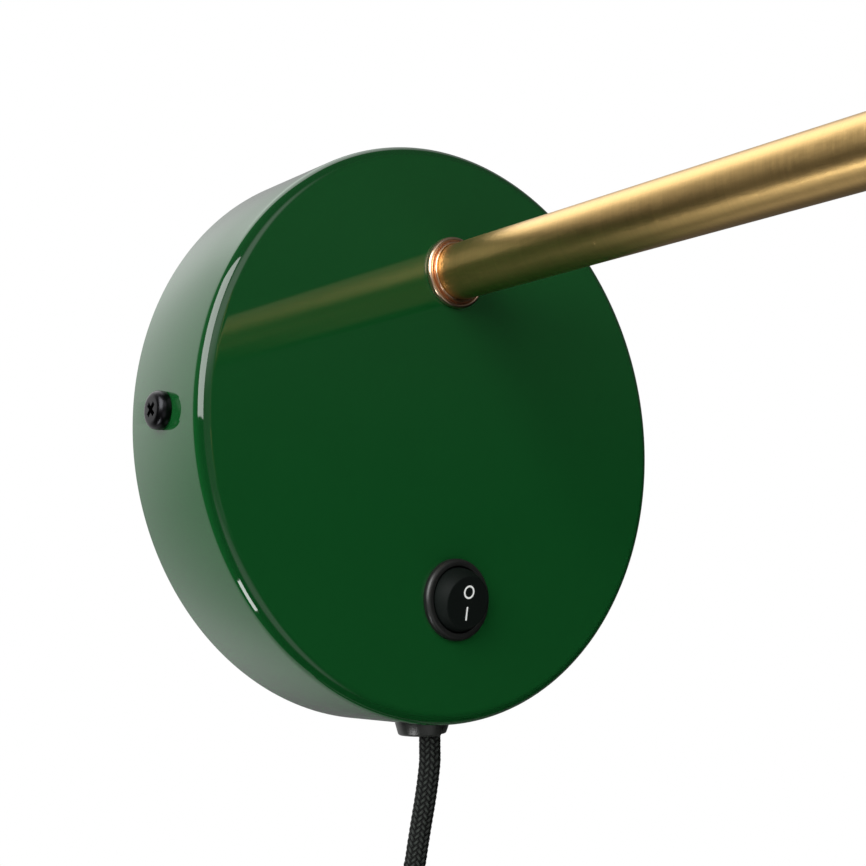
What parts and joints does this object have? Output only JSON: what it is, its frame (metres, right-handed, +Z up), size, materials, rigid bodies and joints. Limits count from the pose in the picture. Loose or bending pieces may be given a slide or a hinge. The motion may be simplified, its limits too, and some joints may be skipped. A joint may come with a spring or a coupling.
{
  "type": "gooseneck wall sconce",
  "caption": "Plug-in wall lamp with a round canopy, a bent brass tube arm, a dome shade, a rocker switch and a textile mains cord with its plug.",
  "frame": {"origin": "centre of the canopy's back, in the plane of the wall", "axes": "+Y into the wall, +Z up, +X to the right for someone who faces the wall"},
  "size_m": [0.1834, 0.4657, 0.434],
  "materials": {
    "gloss_paint": "glossy dark green enamel",
    "brushed_brass": "brushed brass, brushed round the tube",
    "collar_copper": "polished pinkish copper brass",
    "black_gloss": "moulded black plastic, smooth",
    "black_matte": "moulded black plastic, fine texture",
    "black_screw": "black phosphated steel",
    "zinc_steel": "bright zinc",
    "brass_parts": "plain turned brass",
    "spring_steel": "bright spring wire",
    "ivory_plastic": "moulded ivory plastic",
    "textile_cord": "braided black textile over a round cable",
    "wire_brown": "brown wire insulation",
    "wire_pair": "brown and blue wire insulation",
    "cable_sheath": "white cable sheath",
    "holder_plastic": "moulded black plastic",
    "bulb_glass": "clear glass",
    "bulb_inner": "yellow filament rods on a glass stem",
    "tie_strap": "black woven strap"
  },
  "bodies": {
    "lamp": {"canopy": "gloss_paint", "mounting_bracket": "zinc_steel", "side_screws": "black_screw", "collar_ring": "collar_copper", "arm_tube": "brushed_brass", "arm_bush": "brass_parts", "arm_nipple": "zinc_steel", "arm_washer": "zinc_steel", "lock_washer": "zinc_steel", "arm_nut": "zinc_steel", "switch_housing": "black_gloss", "switch_terminals": "brass_parts", "grip_body": "black_matte", "grip_wedge": "black_matte", "terminal_block": "ivory_plastic", "terminal_barrels": "brass_parts", "terminal_screws": "zinc_steel", "block_screw": "zinc_steel", "cord_inner_end": "textile_cord", "supply_cores": "wire_pair", "switched_core": "wire_brown", "lamp_cores": "wire_pair", "lamp_cable": "cable_sheath", "head_cores": "wire_pair", "cord": "textile_cord", "cord_coil": "textile_cord", "cord_tie": "tie_strap", "cord_tail": "textile_cord", "plug_body": "black_matte", "plug_pins": "zinc_steel", "head_bush": "brass_parts", "head_nipple": "zinc_steel", "neck_cap": "brushed_brass", "shade": "gloss_paint", "shade_ring": "holder_plastic", "lampholder_cap": "holder_plastic", "lampholder_skirt": "holder_plastic", "lampholder_insert": "ivory_plastic", "lampholder_contacts": "brass_parts", "screw_shell": "brass_parts", "bulb_cap": "zinc_steel", "bulb_glass": "bulb_glass", "bulb_filament": "bulb_inner"},
    "rocker": {"rocker_button": "black_gloss", "switch_plunger": "ivory_plastic", "switch_spring": "spring_steel"},
    "contact": {"contact_lever": "brass_parts"}
  },
  "joints": [
    {"name": "rocker_tip", "type": "hinge", "parent": "lamp", "child": "rocker", "pos_m": [0, -0.0354, -0.047], "axis": [1, 0, 0], "range_deg": [-21, 0]},
    {"name": "contact_rock", "type": "hinge", "parent": "lamp", "child": "contact", "pos_m": [0, -0.0266, -0.047], "axis": [1, 0, 0], "range_deg": [0, 12]}
  ],
  "couplings": [
    {"joint": "contact_rock", "follows": "rocker_tip", "ratio": -0.5714}
  ]
}
